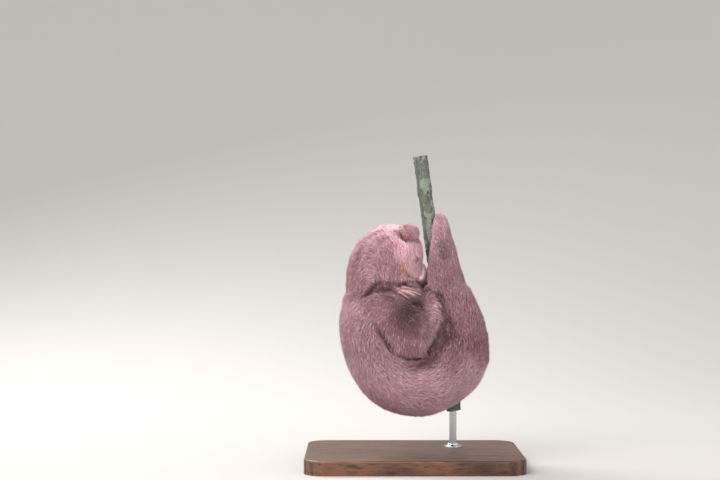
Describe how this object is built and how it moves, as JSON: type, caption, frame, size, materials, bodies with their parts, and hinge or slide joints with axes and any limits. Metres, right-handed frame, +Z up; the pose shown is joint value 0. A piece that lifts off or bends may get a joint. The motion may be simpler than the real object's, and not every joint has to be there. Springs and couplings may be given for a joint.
{
  "type": "silky anteater, sleeping, display model",
  "caption": "Life-size still model of a silky anteater asleep, curled into a ball round a cut length of leaning stem, held by a rod on a flat display base.",
  "frame": {"origin": "middle of the base's underside, on the floor", "axes": "+Z up, +X the way the animal's belly faces and the viewer's right, +Y away from the viewer; the animal's right side faces -Y"},
  "size_m": [0.15, 0.122, 0.2175],
  "materials": {
    "coat": "dense plush fur, dark at the roots, silvery brown at the tips",
    "ear_skin": "thin skin with short sparse fur",
    "nose_skin": "bare moist skin",
    "claw": "smooth horn",
    "eye": "wet, nearly hidden by the closed lids",
    "bark": "rough grey-green bark with lichen",
    "stand_wood": "dark oiled wood",
    "stand_steel": "brushed"
  },
  "bodies": {
    "root": {"claw_forefoot_l_1": "claw", "claw_forefoot_l_2": "claw", "claw_forefoot_r_1": "claw", "claw_forefoot_r_2": "claw", "claw_hindfoot_l_1": "claw", "claw_hindfoot_l_2": "claw", "claw_hindfoot_l_3": "claw", "claw_hindfoot_l_4": "claw", "claw_hindfoot_r_1": "claw", "claw_hindfoot_r_2": "claw", "claw_hindfoot_r_3": "claw", "claw_hindfoot_r_4": "claw", "ear_l": "ear_skin", "ear_r": "ear_skin", "eye_l": "eye", "eye_r": "eye", "forefoot_l": "coat", "forefoot_r": "coat", "foreleg_l_lower": "coat", "foreleg_l_upper": "coat", "foreleg_r_lower": "coat", "foreleg_r_upper": "coat", "head": "coat", "hindfoot_l": "coat", "hindfoot_r": "coat", "hindleg_l_shank": "coat", "hindleg_l_thigh": "coat", "hindleg_r_shank": "coat", "hindleg_r_thigh": "coat", "neck": "coat", "nose": "nose_skin", "perch_stem": "bark", "stand_base": "stand_wood", "stand_rod": "stand_steel", "tail_base": "coat", "tail_fourth": "coat", "tail_second": "coat", "tail_third": "coat", "tail_tip": "coat", "trunk_belly": "coat", "trunk_chest": "coat", "trunk_rump": "coat"}
  },
  "joints": []
}
